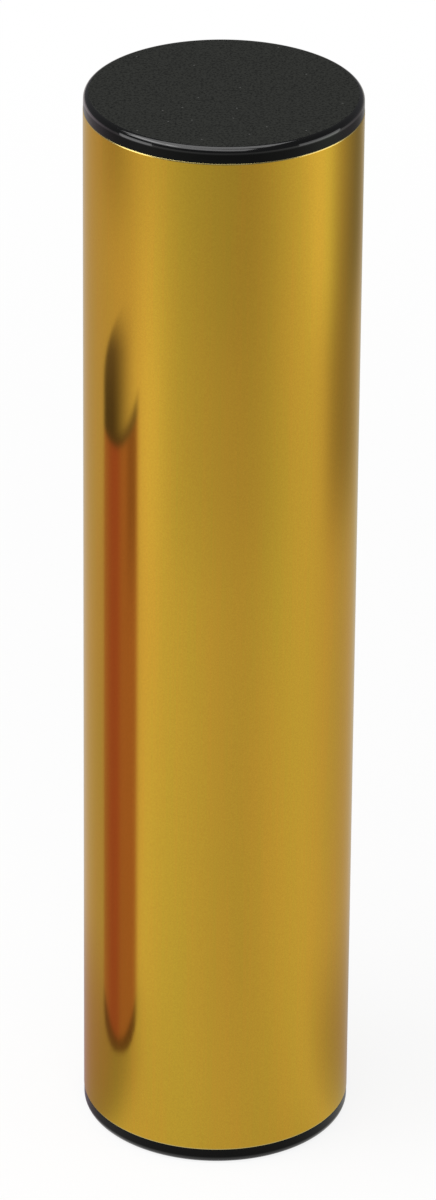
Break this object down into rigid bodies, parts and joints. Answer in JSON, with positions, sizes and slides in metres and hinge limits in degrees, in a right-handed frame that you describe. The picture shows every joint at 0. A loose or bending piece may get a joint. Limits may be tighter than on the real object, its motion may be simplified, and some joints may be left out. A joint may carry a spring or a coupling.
{
  "type": "percussion shaker",
  "caption": "Hand-held tube shaker: a polished gold aluminium tube closed by a black plastic plug cap at each end, with loose steel shot inside that rattles from cap to cap.",
  "frame": {"origin": "centre of the bottom cap's outer face, which the shaker stands on", "axes": "+Z along the tube, from the bottom cap to the top cap; the part is round about Z"},
  "size_m": [0.05, 0.05, 0.2072],
  "materials": {
    "gold_tube": "polished, clear gold anodised",
    "black_plastic": "fine moulded texture on the end face, glossy rounded rim",
    "steel_shot": "polished"
  },
  "bodies": {
    "shell": {"tube": "gold_tube", "bottom_cap": "black_plastic", "top_cap": "black_plastic"},
    "shot_01": {"shot_ball_01": "steel_shot"},
    "shot_02": {"shot_ball_02": "steel_shot"},
    "shot_03": {"shot_ball_03": "steel_shot"},
    "shot_04": {"shot_ball_04": "steel_shot"},
    "shot_05": {"shot_ball_05": "steel_shot"},
    "shot_06": {"shot_ball_06": "steel_shot"},
    "shot_07": {"shot_ball_07": "steel_shot"},
    "shot_08": {"shot_ball_08": "steel_shot"},
    "shot_09": {"shot_ball_09": "steel_shot"},
    "shot_10": {"shot_ball_10": "steel_shot"},
    "shot_11": {"shot_ball_11": "steel_shot"},
    "shot_12": {"shot_ball_12": "steel_shot"},
    "shot_13": {"shot_ball_13": "steel_shot"},
    "shot_14": {"shot_ball_14": "steel_shot"},
    "shot_15": {"shot_ball_15": "steel_shot"},
    "shot_16": {"shot_ball_16": "steel_shot"},
    "shot_17": {"shot_ball_17": "steel_shot"},
    "shot_18": {"shot_ball_18": "steel_shot"},
    "shot_19": {"shot_ball_19": "steel_shot"},
    "shot_20": {"shot_ball_20": "steel_shot"},
    "shot_21": {"shot_ball_21": "steel_shot"},
    "shot_22": {"shot_ball_22": "steel_shot"},
    "shot_23": {"shot_ball_23": "steel_shot"},
    "shot_24": {"shot_ball_24": "steel_shot"},
    "shot_25": {"shot_ball_25": "steel_shot"},
    "shot_26": {"shot_ball_26": "steel_shot"},
    "shot_27": {"shot_ball_27": "steel_shot"},
    "shot_28": {"shot_ball_28": "steel_shot"},
    "shot_29": {"shot_ball_29": "steel_shot"},
    "shot_30": {"shot_ball_30": "steel_shot"},
    "shot_31": {"shot_ball_31": "steel_shot"},
    "shot_32": {"shot_ball_32": "steel_shot"},
    "shot_33": {"shot_ball_33": "steel_shot"},
    "shot_34": {"shot_ball_34": "steel_shot"},
    "shot_35": {"shot_ball_35": "steel_shot"},
    "shot_36": {"shot_ball_36": "steel_shot"},
    "shot_37": {"shot_ball_37": "steel_shot"},
    "shot_38": {"shot_ball_38": "steel_shot"},
    "shot_39": {"shot_ball_39": "steel_shot"},
    "shot_40": {"shot_ball_40": "steel_shot"},
    "shot_41": {"shot_ball_41": "steel_shot"},
    "shot_42": {"shot_ball_42": "steel_shot"},
    "shot_43": {"shot_ball_43": "steel_shot"},
    "shot_44": {"shot_ball_44": "steel_shot"},
    "shot_45": {"shot_ball_45": "steel_shot"},
    "shot_46": {"shot_ball_46": "steel_shot"},
    "shot_47": {"shot_ball_47": "steel_shot"},
    "shot_48": {"shot_ball_48": "steel_shot"},
    "shot_49": {"shot_ball_49": "steel_shot"},
    "shot_50": {"shot_ball_50": "steel_shot"},
    "shot_51": {"shot_ball_51": "steel_shot"},
    "shot_52": {"shot_ball_52": "steel_shot"},
    "shot_53": {"shot_ball_53": "steel_shot"},
    "shot_54": {"shot_ball_54": "steel_shot"},
    "shot_55": {"shot_ball_55": "steel_shot"}
  },
  "joints": [
    {"name": "shot_01_travel", "type": "slide", "parent": "shell", "child": "shot_01", "axis": [0, 0, 1], "range_m": [0, 0.1985]},
    {"name": "shot_02_travel", "type": "slide", "parent": "shell", "child": "shot_02", "axis": [0, 0, 1], "range_m": [0, 0.1985]},
    {"name": "shot_03_travel", "type": "slide", "parent": "shell", "child": "shot_03", "axis": [0, 0, 1], "range_m": [0, 0.1985]},
    {"name": "shot_04_travel", "type": "slide", "parent": "shell", "child": "shot_04", "axis": [0, 0, 1], "range_m": [0, 0.1985]},
    {"name": "shot_05_travel", "type": "slide", "parent": "shell", "child": "shot_05", "axis": [0, 0, 1], "range_m": [0, 0.1985]},
    {"name": "shot_06_travel", "type": "slide", "parent": "shell", "child": "shot_06", "axis": [0, 0, 1], "range_m": [0, 0.1985]},
    {"name": "shot_07_travel", "type": "slide", "parent": "shell", "child": "shot_07", "axis": [0, 0, 1], "range_m": [0, 0.1985]},
    {"name": "shot_08_travel", "type": "slide", "parent": "shell", "child": "shot_08", "axis": [0, 0, 1], "range_m": [0, 0.1985]},
    {"name": "shot_09_travel", "type": "slide", "parent": "shell", "child": "shot_09", "axis": [0, 0, 1], "range_m": [0, 0.1985]},
    {"name": "shot_10_travel", "type": "slide", "parent": "shell", "child": "shot_10", "axis": [0, 0, 1], "range_m": [0, 0.1985]},
    {"name": "shot_11_travel", "type": "slide", "parent": "shell", "child": "shot_11", "axis": [0, 0, 1], "range_m": [0, 0.1985]},
    {"name": "shot_12_travel", "type": "slide", "parent": "shell", "child": "shot_12", "axis": [0, 0, 1], "range_m": [0, 0.1985]},
    {"name": "shot_13_travel", "type": "slide", "parent": "shell", "child": "shot_13", "axis": [0, 0, 1], "range_m": [0, 0.1985]},
    {"name": "shot_14_travel", "type": "slide", "parent": "shell", "child": "shot_14", "axis": [0, 0, 1], "range_m": [0, 0.1985]},
    {"name": "shot_15_travel", "type": "slide", "parent": "shell", "child": "shot_15", "axis": [0, 0, 1], "range_m": [0, 0.1985]},
    {"name": "shot_16_travel", "type": "slide", "parent": "shell", "child": "shot_16", "axis": [0, 0, 1], "range_m": [0, 0.1985]},
    {"name": "shot_17_travel", "type": "slide", "parent": "shell", "child": "shot_17", "axis": [0, 0, 1], "range_m": [0, 0.1985]},
    {"name": "shot_18_travel", "type": "slide", "parent": "shell", "child": "shot_18", "axis": [0, 0, 1], "range_m": [0, 0.1985]},
    {"name": "shot_19_travel", "type": "slide", "parent": "shell", "child": "shot_19", "axis": [0, 0, 1], "range_m": [0, 0.1985]},
    {"name": "shot_20_travel", "type": "slide", "parent": "shell", "child": "shot_20", "axis": [0, 0, 1], "range_m": [0, 0.1985]},
    {"name": "shot_21_travel", "type": "slide", "parent": "shell", "child": "shot_21", "axis": [0, 0, 1], "range_m": [0, 0.1985]},
    {"name": "shot_22_travel", "type": "slide", "parent": "shell", "child": "shot_22", "axis": [0, 0, 1], "range_m": [0, 0.1985]},
    {"name": "shot_23_travel", "type": "slide", "parent": "shell", "child": "shot_23", "axis": [0, 0, 1], "range_m": [0, 0.1985]},
    {"name": "shot_24_travel", "type": "slide", "parent": "shell", "child": "shot_24", "axis": [0, 0, 1], "range_m": [0, 0.1985]},
    {"name": "shot_25_travel", "type": "slide", "parent": "shell", "child": "shot_25", "axis": [0, 0, 1], "range_m": [0, 0.1985]},
    {"name": "shot_26_travel", "type": "slide", "parent": "shell", "child": "shot_26", "axis": [0, 0, 1], "range_m": [0, 0.1985]},
    {"name": "shot_27_travel", "type": "slide", "parent": "shell", "child": "shot_27", "axis": [0, 0, 1], "range_m": [0, 0.1985]},
    {"name": "shot_28_travel", "type": "slide", "parent": "shell", "child": "shot_28", "axis": [0, 0, 1], "range_m": [0, 0.1985]},
    {"name": "shot_29_travel", "type": "slide", "parent": "shell", "child": "shot_29", "axis": [0, 0, 1], "range_m": [0, 0.1985]},
    {"name": "shot_30_travel", "type": "slide", "parent": "shell", "child": "shot_30", "axis": [0, 0, 1], "range_m": [0, 0.1985]},
    {"name": "shot_31_travel", "type": "slide", "parent": "shell", "child": "shot_31", "axis": [0, 0, 1], "range_m": [0, 0.1985]},
    {"name": "shot_32_travel", "type": "slide", "parent": "shell", "child": "shot_32", "axis": [0, 0, 1], "range_m": [0, 0.1985]},
    {"name": "shot_33_travel", "type": "slide", "parent": "shell", "child": "shot_33", "axis": [0, 0, 1], "range_m": [0, 0.1985]},
    {"name": "shot_34_travel", "type": "slide", "parent": "shell", "child": "shot_34", "axis": [0, 0, 1], "range_m": [0, 0.1985]},
    {"name": "shot_35_travel", "type": "slide", "parent": "shell", "child": "shot_35", "axis": [0, 0, 1], "range_m": [0, 0.1985]},
    {"name": "shot_36_travel", "type": "slide", "parent": "shell", "child": "shot_36", "axis": [0, 0, 1], "range_m": [0, 0.1985]},
    {"name": "shot_37_travel", "type": "slide", "parent": "shell", "child": "shot_37", "axis": [0, 0, 1], "range_m": [0, 0.1985]},
    {"name": "shot_38_travel", "type": "slide", "parent": "shell", "child": "shot_38", "axis": [0, 0, 1], "range_m": [0, 0.1985]},
    {"name": "shot_39_travel", "type": "slide", "parent": "shell", "child": "shot_39", "axis": [0, 0, 1], "range_m": [0, 0.1985]},
    {"name": "shot_40_travel", "type": "slide", "parent": "shell", "child": "shot_40", "axis": [0, 0, 1], "range_m": [0, 0.1985]},
    {"name": "shot_41_travel", "type": "slide", "parent": "shell", "child": "shot_41", "axis": [0, 0, 1], "range_m": [0, 0.1985]},
    {"name": "shot_42_travel", "type": "slide", "parent": "shell", "child": "shot_42", "axis": [0, 0, 1], "range_m": [0, 0.1985]},
    {"name": "shot_43_travel", "type": "slide", "parent": "shell", "child": "shot_43", "axis": [0, 0, 1], "range_m": [0, 0.1985]},
    {"name": "shot_44_travel", "type": "slide", "parent": "shell", "child": "shot_44", "axis": [0, 0, 1], "range_m": [0, 0.1985]},
    {"name": "shot_45_travel", "type": "slide", "parent": "shell", "child": "shot_45", "axis": [0, 0, 1], "range_m": [0, 0.1985]},
    {"name": "shot_46_travel", "type": "slide", "parent": "shell", "child": "shot_46", "axis": [0, 0, 1], "range_m": [0, 0.1985]},
    {"name": "shot_47_travel", "type": "slide", "parent": "shell", "child": "shot_47", "axis": [0, 0, 1], "range_m": [0, 0.1985]},
    {"name": "shot_48_travel", "type": "slide", "parent": "shell", "child": "shot_48", "axis": [0, 0, 1], "range_m": [0, 0.1985]},
    {"name": "shot_49_travel", "type": "slide", "parent": "shell", "child": "shot_49", "axis": [0, 0, 1], "range_m": [0, 0.1985]},
    {"name": "shot_50_travel", "type": "slide", "parent": "shell", "child": "shot_50", "axis": [0, 0, 1], "range_m": [0, 0.1985]},
    {"name": "shot_51_travel", "type": "slide", "parent": "shell", "child": "shot_51", "axis": [0, 0, 1], "range_m": [0, 0.1985]},
    {"name": "shot_52_travel", "type": "slide", "parent": "shell", "child": "shot_52", "axis": [0, 0, 1], "range_m": [0, 0.1985]},
    {"name": "shot_53_travel", "type": "slide", "parent": "shell", "child": "shot_53", "axis": [0, 0, 1], "range_m": [0, 0.1985]},
    {"name": "shot_54_travel", "type": "slide", "parent": "shell", "child": "shot_54", "axis": [0, 0, 1], "range_m": [0, 0.1985]},
    {"name": "shot_55_travel", "type": "slide", "parent": "shell", "child": "shot_55", "axis": [0, 0, 1], "range_m": [0, 0.1985]}
  ]
}
